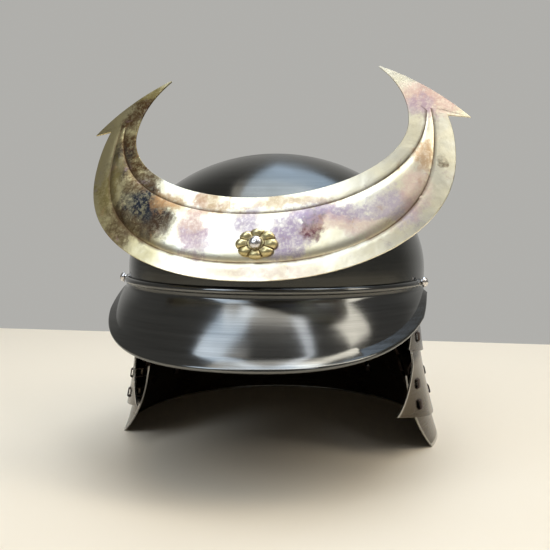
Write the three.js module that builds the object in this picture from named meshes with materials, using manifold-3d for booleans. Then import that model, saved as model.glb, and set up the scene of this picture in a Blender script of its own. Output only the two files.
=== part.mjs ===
// A kabuto: a plain round iron helmet bowl with a flared visor, a crescent crest on a flower
// washer, and a neck guard of three laced lames. Millimetres, +Z up, front towards -Y, standing
// on the rim of the lowest lame.
import * as THREE from 'three';
import { mergeVertices } from 'three/addons/utils/BufferGeometryUtils.js';
import Module from 'manifold-3d';

const wasm = await Module();
wasm.setup();

const DEG = Math.PI / 180;
const GAP = 0.35; // clear air between pieces that bear on each other

// Bowl: half an ellipsoid over a short upright wall.
const BOWL = { halfWidth: 111.5, halfLength: 121, domeHeight: 86, domeBaseZ: 131, rimZ: 108, wall: 1.6 };

// Visor: a band round the front of the bowl, deepest in the middle, with a bead along its top
// edge and an out-turned, rolled lower edge. It leans out less at the sides than in front, and
// the lip and hem shrink to endShrink of their size towards the ends.
const VISOR = {
  halfWidth: 113.3, halfLength: 124, topZ: 126, wall: 1.3, endAngle: 75 * DEG,
  bandTop: 7.5, bandDrop: 31.5, dropPower: 3, dropRoundness: 1.35, belly: 0.24,
  frontFlare: 25, leftFlare: 18, rightFlare: 11.5,
  beadRadius: 2.4, beadSink: 0.45, lipOut: 4, lipDrop: 3.2, hemRadius: 1.7, endShrink: 0.5,
};
const VISOR_RIVET = {
  angle: 71.5 * DEG, z: 124.2, seat: 1.7,
  headRadius: 3.6, headHeight: 3.2, shankRadius: 1.6, tailRadius: 3.2, tailHeight: 1,
};

// Crest: a crescent sheet leaning back on the bowl, turned a little on its rivet. Its outline and
// the two chased lines of its raised panel are half ovals, widest at centreZ.
const CREST = {
  y: -119.4, z: 151.5, lean: 24 * DEG, turn: -8 * DEG, roll: 0.9 * DEG,
  wall: 1.2, raise: 1.6, bevel: 2.6, sweepBack: 6.4, upperSweep: 3,
  outer: { halfWidth: 119.6, centreZ: 57, below: 80.4, above: 90.7, power: 2.15, endAngle: 18.2 * DEG },
  panelOuter: { halfWidth: 106.8, centreZ: 64, below: 75.8, above: 94, power: 2.3, endAngle: 15 * DEG },
  panelInner: { halfWidth: 102, centreZ: 90, below: 69.5, above: 69.5, power: 2.2, endAngle: 0 },
  inner: { halfWidth: 91.3, centreZ: 82, below: 50.6, above: 64.4, power: 2, endAngle: 11 * DEG },
  barb: { x: 127.7, z: 87.6 }, tip: { x: 71.6, z: 122.6 }, tipAngle: 38.5 * DEG, topEdgeBulge: 2.6,
  fullPanel: 16, // the raised panel is lower where it is narrower than this
};
// Rosette: a flower washer on the crest, right of its middle. The profile gives how far out a
// ring of points is and its share of the height; creases are that share of the petals' height.
// The rivet's head sits over middleHeight.
const ROSETTE = {
  offset: 6, drop: 0.6, petals: 8, halfWidth: 13.2, halfHeight: 9.8, notch: 0.13,
  base: 0.9, height: 3.1, crease: 0.62, boreRadius: 2.2, middleHeight: 2.4,
  profile: [[0, 0.55], [0.4, 0.9], [0.8, 0.95], [1, 0.3]],
};
const CREST_RIVET = {
  headRadius: 4.1, headHeight: 3.1, shankRadius: 1.8, tailRadius: 3.4, tailHeight: 1, tailDepth: 6.2,
};
const DRILL_REACH = 12; // each way from a rivet's seat, past every wall it goes through

// Neck guard: lames cut from one flaring surface, each nested inside the one above it. Rows give
// the height of the top edge, of the bottom edge at the sides and back, and of the front corner,
// where the front edge starts and ends (y), and how far each front end turns inward at its top
// and at its corner (less than 0 is outward).
const GUARD = {
  topZ: 121, halfWidth: 105.3, widthSpread: 22.9, back: 114.8, backSpread: 35.4,
  front: 114.8, frontSpread: -8.8, power: 1.75, nesting: 2.2, wall: 1.2, turnInLength: 45,
};
const LAMES = [
  {
    name: 'lame_top', layer: 1, topZ: 121, bottomZ: 70, cornerZ: 78, topY: -38, cornerY: -50, edgePower: 2,
    turnLeft: [0, 0], turnRight: [0, 0],
  },
  {
    name: 'lame_middle', layer: 0, topZ: 98, bottomZ: 20, cornerZ: 31, topY: -34, cornerY: -54, edgePower: 2,
    turnLeft: [0, -4], turnRight: [2, -7],
  },
  {
    name: 'lame_bottom', layer: -1, topZ: 57, bottomZ: 0, cornerZ: 0, topY: -38, cornerY: -18, edgePower: 2.5,
    turnLeft: [10, 0], turnRight: [3, 0],
  },
];

// Laces: one flat thong to a column, threaded out and in through slots. Each row of STITCHES is
// the height of a stitch's middle and the two layers it goes through, outer first. A thong runs
// on by endRun at both ends and follows the lames in steps of at most follow.
const LACE = {
  columns: 10, firstAngle: 72 * DEG, width: 4.4, thickness: 0.9, stitch: 6,
  slotPlay: 0.4, endRun: 5, follow: 9, clearance: 0.6,
};
const STITCHES = [
  { z: 113.5, outer: 'bowl', inner: 'lame_top' },
  { z: 84, outer: 'lame_top', inner: 'lame_middle' },
  { z: 50, outer: 'lame_middle', inner: 'lame_bottom' },
  { z: 35, outer: 'lame_middle', inner: 'lame_bottom' },
];

// ---------------------------------------------------------------- geometry helpers

// An indexed geometry with its faces turned outward.
function solid(points, triangles) {
  let volume = 0;
  for (const [a, b, c] of triangles) {
    volume += points[a].dot(new THREE.Vector3().crossVectors(points[b], points[c]));
  }
  const index = volume > 0 ? triangles.flat() : triangles.flatMap(([a, b, c]) => [a, c, b]);
  const geometry = new THREE.BufferGeometry();
  geometry.setAttribute('position', new THREE.Float32BufferAttribute(points.flatMap((p) => p.toArray()), 3));
  geometry.setIndex(index);
  return geometry;
}

// A closed wall between a front line and a back line of equal length, carried through sections.
function ribbon(sections, closed = false) {
  const half = sections[0].front.length;
  const loop = 2 * half;
  const points = sections.flatMap(({ front, back }) => [...front, ...back.toReversed()]);
  const triangles = [];
  const steps = closed ? sections.length : sections.length - 1;
  for (let i = 0; i < steps; i++) {
    const here = i * loop;
    const next = ((i + 1) % sections.length) * loop;
    for (let k = 0; k < loop; k++) {
      const m = (k + 1) % loop;
      triangles.push([here + k, here + m, next + m], [here + k, next + m, next + k]);
    }
  }
  if (!closed) {
    const last = (sections.length - 1) * loop;
    for (let k = 0; k < half - 1; k++) {
      const across = loop - 1 - k;
      triangles.push([k, across - 1, k + 1], [k, across, across - 1]);
      triangles.push([last + k, last + k + 1, last + across - 1], [last + k, last + across - 1, last + across]);
    }
  }
  return solid(points, triangles);
}

// A round solid about the Z axis from a profile of [radius, height] pairs, listed downward.
function turned(profile, segments) {
  const geometry = new THREE.LatheGeometry(profile.toReversed().map(([r, h]) => new THREE.Vector2(r, h)), segments);
  return geometry.rotateX(Math.PI / 2);
}

function manifoldOf(geometry) {
  const bare = geometry.clone();
  bare.deleteAttribute('normal');
  bare.deleteAttribute('uv');
  const merged = mergeVertices(bare, 1e-4);
  return new wasm.Manifold(new wasm.Mesh({
    numProp: 3,
    vertProperties: new Float32Array(merged.attributes.position.array),
    triVerts: new Uint32Array(merged.index.array),
  }));
}

// The geometry with every cutter taken away from it.
function cut(geometry, cutters) {
  let body = manifoldOf(geometry);
  for (const cutter of cutters) body = body.subtract(manifoldOf(cutter));
  const { vertProperties, triVerts } = body.getMesh();
  const result = new THREE.BufferGeometry();
  result.setAttribute('position', new THREE.BufferAttribute(vertProperties, 3));
  result.setIndex(new THREE.BufferAttribute(triVerts, 1));
  return result;
}

// A cylinder along Z about a rivet's seat, moved by a matrix.
function drill(radius, matrix) {
  const geometry = new THREE.CylinderGeometry(radius, radius, 2 * DRILL_REACH, 16);
  return geometry.rotateX(Math.PI / 2).applyMatrix4(matrix);
}

// A frame at a point whose Z axis is the outward direction.
function facing(point, outward) {
  const turn = new THREE.Quaternion().setFromUnitVectors(new THREE.Vector3(0, 0, 1), outward);
  return new THREE.Matrix4().compose(point, turn, new THREE.Vector3(1, 1, 1));
}

function metal(color, roughness) {
  return new THREE.MeshStandardMaterial({ color, roughness, metalness: 1 });
}

const blackIron = metal(0x2b2c2b, 0.32);
const brass = metal(0xc9bd8c, 0.34);
const silver = metal(0xd2cfc8, 0.25);
const thong = new THREE.MeshStandardMaterial({ color: 0x4a3530, roughness: 0.75, metalness: 0 });

const helmet = new THREE.Group();

function addPiece(name, geometry, material, parent = helmet) {
  const piece = new THREE.Mesh(geometry, material);
  piece.name = name;
  parent.add(piece);
  return piece;
}

// ---------------------------------------------------------------- neck guard surface

function guardOval(z, layer) {
  const spread = Math.max(0, (GUARD.topZ - z) / GUARD.topZ) ** GUARD.power;
  const back = GUARD.back + GUARD.backSpread * spread;
  const front = GUARD.front + GUARD.frontSpread * spread;
  const grow = layer * GUARD.nesting;
  return {
    a: GUARD.halfWidth + GUARD.widthSpread * spread + grow,
    b: (back + front) / 2 + grow,
    y: (back - front) / 2,
  };
}

// How far down a lame's front edge a height is: 0 at its top, 1 at its corner.
function edgeRun(lame, z) {
  return THREE.MathUtils.clamp((lame.topZ - z) / (lame.topZ - lame.cornerZ), 0, 1);
}

function frontEdgeY(lame, z) {
  return lame.topY + (lame.cornerY - lame.topY) * edgeRun(lame, z) ** lame.edgePower;
}

// A point of a lame, at an angle from the front, a height and a depth into its wall.
function lamePoint(lame, angle, z, depth = 0) {
  const oval = guardOval(z, lame.layer);
  const x = (oval.a - depth) * Math.sin(angle);
  const y = oval.y - (oval.b - depth) * Math.cos(angle);
  const nearness = THREE.MathUtils.clamp(1 - (y - frontEdgeY(lame, z)) / GUARD.turnInLength, 0, 1);
  const [atTop, atCorner] = x < 0 ? lame.turnLeft : lame.turnRight;
  const turnIn = THREE.MathUtils.lerp(atTop, atCorner, edgeRun(lame, z) ** lame.edgePower);
  return new THREE.Vector3(x - Math.sign(x) * turnIn * nearness ** 2, y, z);
}

// The angle at which a lame's front edge stands, at a height.
function frontAngle(lame, z) {
  const oval = guardOval(z, lame.layer);
  return Math.acos((oval.y - frontEdgeY(lame, z)) / oval.b);
}

function lameGeometry(lame) {
  const rows = 4;
  const columns = 32;
  const crowding = 0.25;
  const cornerAngle = frontAngle(lame, lame.cornerZ);
  const lift = lame.cornerZ - lame.bottomZ;
  const sections = [];
  for (let j = 0; j <= columns; j++) {
    const front = [];
    const back = [];
    const run = j / columns - crowding * Math.sin(2 * Math.PI * j / columns) / (2 * Math.PI);
    for (let i = 0; i <= rows; i++) {
      const s = i / rows;
      const edgeZ = lame.topZ + (lame.cornerZ - lame.topZ) * s;
      const edge = frontAngle(lame, edgeZ);
      const angle = edge + (2 * Math.PI - 2 * edge) * run;
      const fromFront = Math.min(angle, 2 * Math.PI - angle);
      const rise = THREE.MathUtils.clamp((Math.PI / 2 - fromFront) / (Math.PI / 2 - cornerAngle), 0, 1);
      const bottomZ = lame.bottomZ + lift * rise ** 1.5;
      const z = lame.topZ + (bottomZ - lame.topZ) * s;
      front.push(lamePoint(lame, angle, z));
      back.push(lamePoint(lame, angle, z, GUARD.wall));
    }
    sections.push({ front, back });
  }
  return ribbon(sections);
}

// ---------------------------------------------------------------- laces

const lameOf = Object.fromEntries(LAMES.map((lame) => [lame.name, lame]));

function wallPoint(layer, angle, z, depth) {
  if (layer !== 'bowl') return lamePoint(lameOf[layer], angle, z, depth);
  const x = (BOWL.halfWidth - depth) * Math.sin(angle);
  return new THREE.Vector3(x, -(BOWL.halfLength - depth) * Math.cos(angle), z);
}

// A column's upright plane: an origin on the middle lame, the outward and the sideways direction.
function columnFrame(index) {
  const last = 2 * Math.PI - LACE.firstAngle;
  const angle = LACE.firstAngle + (last - LACE.firstAngle) * index / (LACE.columns - 1);
  const z = 60;
  const origin = lamePoint(lameOf.lame_middle, angle, z).setZ(0);
  const ahead = lamePoint(lameOf.lame_middle, angle + 0.02, z).setZ(0);
  const behind = lamePoint(lameOf.lame_middle, angle - 0.02, z).setZ(0);
  const side = ahead.sub(behind).normalize();
  return { angle, origin, side, out: new THREE.Vector3(side.y, -side.x, 0) };
}

// How far out along a column's plane a wall lies, at a height, a depth and a place aside.
function reach(column, layer, z, depth, aside = 0) {
  let low = column.angle - 0.4;
  let high = column.angle + 0.4;
  for (let step = 0; step < 40; step++) {
    const middle = (low + high) / 2;
    if (wallPoint(layer, middle, z, depth).sub(column.origin).dot(column.side) < aside) low = middle;
    else high = middle;
  }
  return wallPoint(layer, (low + high) / 2, z, depth).sub(column.origin).dot(column.out);
}

// The thong's centre line in its plane, as [outward, height] pairs from the top down. Between
// stitches it lies against the inside of whichever lames reach that height.
function lacePath(column) {
  const half = LACE.stitch / 2;
  const clear = LACE.clearance + LACE.thickness / 2;
  const asides = [-LACE.width / 2, 0, LACE.width / 2];
  const insideAt = (z) => Math.min(...LAMES.filter((lame) => z < lame.topZ + LACE.follow).flatMap(
    (lame) => asides.map((aside) => reach(column, lame.name, z, GUARD.wall, aside)),
  )) - clear;
  const outsideAt = (layer, z) => Math.max(...asides.map((aside) => reach(column, layer, z, 0, aside))) + clear;
  const path = [];
  const lieInside = (from, to) => {
    const steps = Math.ceil((from - to) / LACE.follow);
    for (let i = 0; i <= steps; i++) {
      const z = from + (to - from) * i / steps;
      path.push([insideAt(z), z]);
    }
  };
  let from = STITCHES[0].z + half + LACE.endRun;
  for (const { z, outer } of STITCHES) {
    lieInside(from, z + half);
    path.push([outsideAt(outer, z + half), z + half], [outsideAt(outer, z - half), z - half]);
    from = z - half;
  }
  lieInside(from, from - LACE.endRun);
  return path;
}

function wallOf(layer) {
  return layer === 'bowl' ? BOWL.wall : GUARD.wall;
}

// A line thickened to both sides, with square corners.
function thickened(path, thickness) {
  const line = path.map(([x, y]) => new THREE.Vector2(x, y));
  const left = [];
  const right = [];
  line.forEach((point, i) => {
    const before = point.clone().sub(line[Math.max(i - 1, 0)]);
    const after = line[Math.min(i + 1, line.length - 1)].clone().sub(point);
    const from = (i === 0 ? after : before).normalize();
    const to = (i === line.length - 1 ? from.clone() : after.clone()).normalize();
    const normal = new THREE.Vector2(-from.y - to.y, from.x + to.x).normalize();
    const stretch = 1 / Math.max(normal.dot(new THREE.Vector2(-from.y, from.x)), 0.3);
    const shift = normal.multiplyScalar(stretch * thickness / 2);
    left.push(point.clone().add(shift));
    right.push(point.clone().sub(shift));
  });
  return new THREE.Shape([...left, ...right.reverse()]);
}

// From a column's plane (outward, height, back along the sideways direction) into the helmet.
function columnMatrix(column) {
  const aside = column.side.clone().negate();
  const basis = new THREE.Matrix4().makeBasis(column.out, new THREE.Vector3(0, 0, 1), aside);
  return basis.setPosition(column.origin);
}

function laceGeometry(column) {
  const shape = thickened(lacePath(column), LACE.thickness);
  const strip = new THREE.ExtrudeGeometry(shape, { depth: LACE.width, bevelEnabled: false });
  return strip.translate(0, 0, -LACE.width / 2).applyMatrix4(columnMatrix(column));
}

const SLOT_DEPTH = 8; // more than any wall, however it slants
const columns = Array.from({ length: LACE.columns }, (_, index) => columnFrame(index));

// The slots that a layer needs: two to a stitch where it lies outermost, and one tall slot
// where it is the inner one.
function slotsFor(layer) {
  const slots = [];
  const addSlot = (column, z, height) => {
    const middle = reach(column, layer, z, wallOf(layer) / 2);
    const slot = new THREE.BoxGeometry(SLOT_DEPTH, height, LACE.width + 2 * LACE.slotPlay);
    slots.push(slot.translate(middle, z, 0).applyMatrix4(columnMatrix(column)));
  };
  const narrow = LACE.thickness + 2 * LACE.slotPlay;
  for (const column of columns) {
    for (const { z, outer, inner } of STITCHES) {
      if (inner === layer) addSlot(column, z, LACE.stitch + narrow);
      if (outer !== layer) continue;
      addSlot(column, z - LACE.stitch / 2, narrow);
      addSlot(column, z + LACE.stitch / 2, narrow);
    }
  }
  return slots;
}

// ---------------------------------------------------------------- visor

// A point of the visor, at an angle from the front; flared is its share of the outward lean.
function visorPoint(angle, out, down, flared = 0) {
  const sideFlare = angle < 0 ? VISOR.leftFlare : VISOR.rightFlare;
  const x = (VISOR.halfWidth + out + sideFlare * flared) * Math.sin(angle);
  const y = -(VISOR.halfLength + out + VISOR.frontFlare * flared) * Math.cos(angle);
  return new THREE.Vector3(x, y, VISOR.topZ - down);
}

function visorSection(angle) {
  const share = Math.max(0, 1 - Math.abs(angle / VISOR.endAngle) ** VISOR.dropPower) ** VISOR.dropRoundness;
  const size = VISOR.endShrink + (1 - VISOR.endShrink) * Math.min(1, 3 * share);
  const drop = VISOR.bandDrop * share;
  const outer = [];
  const inner = [];
  const put = (list, out, down, s = 0) => list.push(visorPoint(angle, out, down, s * share));
  for (const turn of [-75, -10, 50]) {
    const bead = VISOR.beadRadius;
    put(outer, bead * (Math.cos(turn * DEG) - VISOR.beadSink), bead * (1 + Math.sin(turn * DEG)));
    put(inner, -VISOR.wall - 0.1, bead * (1 + Math.sin(turn * DEG)) * 0.9 + 0.4);
  }
  put(outer, 0, VISOR.bandTop - 1.4);
  put(inner, -VISOR.wall, VISOR.bandTop - 1.8);
  for (const s of [0, 0.5, 1]) {
    const belly = VISOR.belly * s * (1 - s) * drop;
    put(outer, 0.3 + belly, VISOR.bandTop + drop * s, s);
    put(inner, 0.3 + belly - VISOR.wall, VISOR.bandTop + drop * s + 0.4, s);
  }
  const lipOut = VISOR.lipOut * size;
  const lipDown = VISOR.bandTop + drop + VISOR.lipDrop * size;
  const hem = VISOR.hemRadius * size;
  for (const turn of [-50, 15, 80]) {
    put(outer, lipOut + hem * Math.cos(turn * DEG), lipDown + hem * (1 + Math.sin(turn * DEG)), 1);
  }
  for (const turn of [250, 190, 130]) {
    put(inner, lipOut + hem * Math.cos(turn * DEG), lipDown + hem * (1 + Math.sin(turn * DEG)), 1);
  }
  return { front: outer, back: inner };
}

function visorGeometry() {
  const steps = 26;
  const sections = [];
  for (let i = 0; i <= steps; i++) {
    sections.push(visorSection(VISOR.endAngle * Math.sin(Math.PI / 2 * (2 * i / steps - 1))));
  }
  return ribbon(sections);
}

// ---------------------------------------------------------------- bowl and visor rivets

function bowlGeometry() {
  const arcSteps = 8;
  const profile = [];
  const arc = (depth, from, to) => {
    for (let i = 0; i <= arcSteps; i++) {
      const angle = from + (to - from) * i / arcSteps;
      const radius = angle === 0 ? 0 : (BOWL.halfWidth - depth) * Math.sin(angle);
      profile.push([radius, BOWL.domeBaseZ + (BOWL.domeHeight - depth) * Math.cos(angle)]);
    }
  };
  arc(0, 0, Math.PI / 2);
  profile.push([BOWL.halfWidth, BOWL.rimZ], [BOWL.halfWidth - BOWL.wall, BOWL.rimZ]);
  arc(BOWL.wall, Math.PI / 2, 0);
  const geometry = turned(profile, 36);
  return geometry.scale(1, BOWL.halfLength / BOWL.halfWidth, 1);
}

// Where a side rivet goes through, facing outward; side is -1 on the left and 1 on the right.
function visorRivetFrame(side) {
  const { angle } = VISOR_RIVET;
  const point = visorPoint(side * angle, 0, VISOR.topZ - VISOR_RIVET.z);
  const outward = new THREE.Vector3(side * Math.sin(angle) / VISOR.halfWidth, -Math.cos(angle) / VISOR.halfLength, 0);
  return facing(point, outward.normalize());
}

// A round-headed rivet along Z: head above the sheet's outer face at 0, tail below the depth.
function rivetGeometry({ headRadius, headHeight, shankRadius, tailRadius, tailHeight }, seat, depth) {
  const profile = [[0, seat + headHeight]];
  for (const turn of [25, 50, 72, 90]) {
    profile.push([headRadius * Math.sin(turn * DEG), seat + headHeight * Math.cos(turn * DEG)]);
  }
  const end = -depth - tailHeight;
  profile.push([shankRadius, seat], [shankRadius, -depth], [tailRadius, -depth], [tailRadius, end], [0, end]);
  return turned(profile, 12);
}

// ---------------------------------------------------------------- crest

// A point of one of the crest's half ovals: 0 at the bottom, 1 at its end angle.
function ovalPoint({ halfWidth, centreZ, below, above, power }, angle) {
  const x = halfWidth * Math.abs(Math.cos(angle)) ** (2 / power);
  const reachZ = (angle < 0 ? -below : above) * Math.abs(Math.sin(angle)) ** (2 / power);
  return new THREE.Vector2(x, centreZ + reachZ);
}

function alongOval(oval, u) {
  return ovalPoint(oval, -Math.PI / 2 + (Math.PI / 2 + oval.endAngle) * u);
}

// Depth of the bent sheet's back face.
function crestDepth(x, z) {
  const across = x / CREST.outer.halfWidth;
  return CREST.sweepBack * across ** 4 + CREST.upperSweep * across ** 2 * z / CREST.tip.z;
}

// Rows across the crescent, each a flat point and how far it is raised; then the horn's end.
function crestRows() {
  const rows = [];
  const bodySteps = 14;
  for (let i = 0; i <= bodySteps; i++) {
    const u = i / bodySteps;
    const inner = alongOval(CREST.panelInner, u);
    const outer = alongOval(CREST.panelOuter, u);
    const width = inner.distanceTo(outer);
    const bevel = Math.min(CREST.bevel, 0.3 * width) / width;
    const raise = CREST.raise * Math.min(1, width / CREST.fullPanel) * (i === bodySteps ? 0.2 : 1);
    rows.push([
      [alongOval(CREST.inner, u), 0], [inner, 0], [inner.clone().lerp(outer, bevel), raise],
      [outer.clone().lerp(inner, bevel), raise], [outer, 0], [alongOval(CREST.outer, u), 0],
    ]);
  }
  const hornSteps = 5;
  const barb = new THREE.Vector2(CREST.barb.x, CREST.barb.z);
  const tip = new THREE.Vector2(CREST.tip.x, CREST.tip.z);
  const bulgeWay = new THREE.Vector2(barb.y - tip.y, tip.x - barb.x).normalize().negate();
  for (let i = 0; i <= hornSteps; i++) {
    const w = i / hornSteps;
    const turn = CREST.inner.endAngle + (CREST.tipAngle - CREST.inner.endAngle) * (0.06 + 0.94 * w);
    const inside = ovalPoint(CREST.inner, turn);
    const outside = barb.clone().lerp(tip, w).addScaledVector(bulgeWay, 4 * CREST.topEdgeBulge * w * (1 - w));
    rows.push([0, 0.3, 0.42, 0.58, 0.7, 1].map((v) => [inside.clone().lerp(outside, v), 0]));
  }
  return rows;
}

function crestGeometry() {
  const half = crestRows();
  const section = (row, side) => {
    const place = (extra) => row.map(([flat, raise]) => {
      const back = crestDepth(flat.x, flat.y) - raise;
      return new THREE.Vector3(side * flat.x, back - extra, flat.y);
    });
    return { front: place(CREST.wall), back: place(0) };
  };
  const left = half.slice(1).reverse().map((row) => section(row, -1));
  return ribbon([...left, ...half.map((row) => section(row, 1))]);
}

function rosetteGeometry(seat) {
  const steps = 40;
  const sections = [];
  for (let i = 0; i < steps; i++) {
    const angle = 2 * Math.PI * i / steps;
    const petal = Math.abs(Math.sin(ROSETTE.petals * angle / 2 + Math.PI / 2));
    const rim = 1 - ROSETTE.notch * (1 - petal ** 0.6);
    const place = (share, height) => new THREE.Vector3(
      Math.cos(angle) * (ROSETTE.boreRadius + (ROSETTE.halfWidth * rim - ROSETTE.boreRadius) * share),
      seat - height,
      Math.sin(angle) * (ROSETTE.boreRadius + (ROSETTE.halfHeight * rim - ROSETTE.boreRadius) * share),
    );
    const crown = ROSETTE.height * (ROSETTE.crease + (1 - ROSETTE.crease) * petal ** 0.7);
    sections.push({
      front: ROSETTE.profile.map(([share, height]) => place(share, Math.max(crown * height, ROSETTE.base))),
      back: ROSETTE.profile.map(([share]) => place(share, 0)),
    });
  }
  return ribbon(sections, true);
}

// ---------------------------------------------------------------- assembly

const crestFrame = new THREE.Group();
crestFrame.position.set(0, CREST.y, CREST.z);
crestFrame.rotation.set(-CREST.lean, -CREST.roll, CREST.turn, 'ZXY');
crestFrame.updateMatrix();
const panelFace = -CREST.raise - CREST.wall;
const rivetWay = new THREE.Matrix4().makeRotationX(Math.PI / 2).setPosition(ROSETTE.offset, 0, -ROSETTE.drop);
const rivetWayInHelmet = crestFrame.matrix.clone().multiply(rivetWay);

const visorHoles = [-1, 1].map((side) => drill(VISOR_RIVET.shankRadius + GAP, visorRivetFrame(side)));
const bowlCutters = [
  ...slotsFor('bowl'),
  ...visorHoles,
  drill(CREST_RIVET.shankRadius + GAP, rivetWayInHelmet),
];

addPiece('bowl', cut(bowlGeometry(), bowlCutters), blackIron);
addPiece('visor', cut(visorGeometry(), visorHoles), blackIron);
const visorRivetGrip = VISOR.halfWidth - BOWL.halfWidth + BOWL.wall + 2 * GAP;
for (const [name, side] of [['visor_rivet_left', -1], ['visor_rivet_right', 1]]) {
  const rivet = rivetGeometry(VISOR_RIVET, VISOR_RIVET.seat, visorRivetGrip);
  addPiece(name, rivet.applyMatrix4(visorRivetFrame(side)), silver);
}

helmet.add(crestFrame);
const crestBore = drill(CREST_RIVET.shankRadius + GAP, rivetWay);
addPiece('crest', cut(crestGeometry(), [crestBore]), brass, crestFrame);
const rosette = addPiece('rosette', rosetteGeometry(panelFace - GAP), brass, crestFrame);
rosette.position.set(ROSETTE.offset, 0, -ROSETTE.drop);
const rivetSeat = -panelFace + GAP + ROSETTE.middleHeight + GAP;
const crestRivet = rivetGeometry(CREST_RIVET, rivetSeat, CREST_RIVET.tailDepth).applyMatrix4(rivetWay);
addPiece('rosette_rivet', crestRivet, silver, crestFrame);

for (const lame of LAMES) {
  addPiece(lame.name, cut(lameGeometry(lame), slotsFor(lame.name)), blackIron);
}
columns.forEach((column, index) => addPiece(`lace_${index + 1}`, laceGeometry(column), thong));

// The origin is the middle of the bounding box's bottom.
helmet.updateMatrixWorld(true);
const box = new THREE.Box3().setFromObject(helmet, true);
helmet.position.set(-(box.min.x + box.max.x) / 2, -(box.min.y + box.max.y) / 2, -box.min.z);

export default helmet;
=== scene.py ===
"""A kabuto: plain round iron bowl, flared visor, brass crescent crest and a laced neck guard.

The pieces are built in the bowl's own frame (millimetres, the bowl's axis upright at x = y = 0,
the front towards -Y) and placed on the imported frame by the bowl's box. Left and right are as seen
from the front, so left is towards -X.
"""

import math

import bmesh
import bpy
import numpy as np
from mathutils import Matrix, Vector


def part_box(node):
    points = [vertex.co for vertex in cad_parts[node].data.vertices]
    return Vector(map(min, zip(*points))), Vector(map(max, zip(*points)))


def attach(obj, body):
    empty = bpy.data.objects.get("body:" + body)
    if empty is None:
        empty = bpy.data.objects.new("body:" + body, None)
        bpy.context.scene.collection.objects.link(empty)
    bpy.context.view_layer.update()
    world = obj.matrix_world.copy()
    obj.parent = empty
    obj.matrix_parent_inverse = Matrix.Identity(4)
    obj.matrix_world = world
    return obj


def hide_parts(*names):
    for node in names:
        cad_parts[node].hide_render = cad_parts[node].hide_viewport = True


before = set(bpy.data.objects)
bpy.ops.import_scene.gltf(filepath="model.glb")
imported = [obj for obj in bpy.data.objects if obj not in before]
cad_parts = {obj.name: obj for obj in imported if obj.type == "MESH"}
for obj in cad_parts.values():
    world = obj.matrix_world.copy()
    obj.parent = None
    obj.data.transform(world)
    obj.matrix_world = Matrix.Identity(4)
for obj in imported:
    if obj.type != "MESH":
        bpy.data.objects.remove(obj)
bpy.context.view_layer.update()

MM = 0.001
PI = math.pi
bowl_low, bowl_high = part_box("bowl")
AXIS = Matrix.Translation(((bowl_low.x + bowl_high.x) / 2, (bowl_low.y + bowl_high.y) / 2, 0))


def rad(degrees):
    return math.radians(degrees)


# ------------------------------------------------------------------ driving dimensions, mm

GAP = 0.35
BOWL = dict(
    half_width=111.5, half_length=121, dome_height=86, dome_base_z=131, rim_z=108, wall=1.6,
    wall_z=(126, 121, 115, 110.5),
)
VISOR = dict(
    half_width=113.3, half_length=124, top_z=126, wall=1.3, end_angle=rad(75),
    band_top=7.5, band_drop=31.5, drop_power=3, drop_roundness=1.35, belly=0.24,
    front_flare=25, left_flare=18, right_flare=11.5,
    bead_radius=2.4, bead_sink=0.45, neck=1.9, skin_out=0.3, inner_drop=0.4,
    lip_out=4, lip_drop=3.2, hem_radius=1.7, end_shrink=0.5,
)
VISOR_RIVET = dict(
    angle=rad(71.5), z=124.2, seat=1.7, head_radius=3.6, head_height=3.2,
    shank_radius=1.6, tail_radius=3.2, tail_height=1, dimple=0,
)
CREST = dict(
    y=-119.4, z=151.5, lean=rad(24), turn=rad(-8), roll=rad(0.9),
    wall=1.2, raised=1.6, crown=7, groove=0.3, full_panel=16, chamfer=0.3, sweep_back=6.4, upper_sweep=3,
    barb=(127.7, 87.6), tip=(71.6, 122.6), tip_angle=rad(38.5), top_edge_bulge=2.6,
    crown_power=2.4, groove_power=24, crease_dirt_and_shade_share=0.09, fade_share=0.07, faded_height=0.2,
)
HORN = dict(steps=44, crowding=0.8, first_share=0.06)
CREST_OUTER = dict(half_width=119.6, centre_z=57, below=80.4, above=90.7, power=2.15, end_angle=rad(18.2))
PANEL_OUTER = dict(half_width=106.8, centre_z=64, below=75.8, above=94, power=2.3, end_angle=rad(15))
PANEL_INNER = dict(half_width=102, centre_z=90, below=69.5, above=69.5, power=2.2, end_angle=0)
CREST_INNER = dict(half_width=91.3, centre_z=82, below=50.6, above=64.4, power=2, end_angle=rad(11))
ROSETTE = dict(
    offset=6, drop=0.6, petals=8, half_width=13.2, half_height=9.8, notch=0.13,
    height=3.1, crease=0.5, bore_radius=2.2, middle_height=2.4,
)
CREST_RIVET = dict(
    head_radius=4.1, head_height=3.1, shank_radius=1.8, tail_radius=3.4, tail_height=1,
    tail_depth=6.2, dimple=0.35,
)
GUARD = dict(
    top_z=121, half_width=105.3, width_spread=22.9, back=114.8, back_spread=35.4,
    front=114.8, front_spread=-8.8, power=1.75, nesting=2.2, wall=1.2, turn_in_length=45,
    corner_power=1.5, hem_radius=1.1,
)
LAMES = {
    "lame_top": dict(
        layer=1, top_z=121, bottom_z=70, corner_z=78, top_y=-38, corner_y=-50, edge_power=2,
        turn_left=(0, 0), turn_right=(0, 0),
    ),
    "lame_middle": dict(
        layer=0, top_z=98, bottom_z=20, corner_z=31, top_y=-34, corner_y=-54, edge_power=2,
        turn_left=(0, -4), turn_right=(2, -7),
    ),
    "lame_bottom": dict(
        layer=-1, top_z=57, bottom_z=0, corner_z=0, top_y=-38, corner_y=-18, edge_power=2.5,
        turn_left=(10, 0), turn_right=(3, 0),
    ),
}
LACE = dict(
    columns=10, first_angle=rad(72), width=4.4, thickness=0.9, stitch=6,
    slot_play=0.4, end_run=5, follow=9, clearance=0.6,
)
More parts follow.
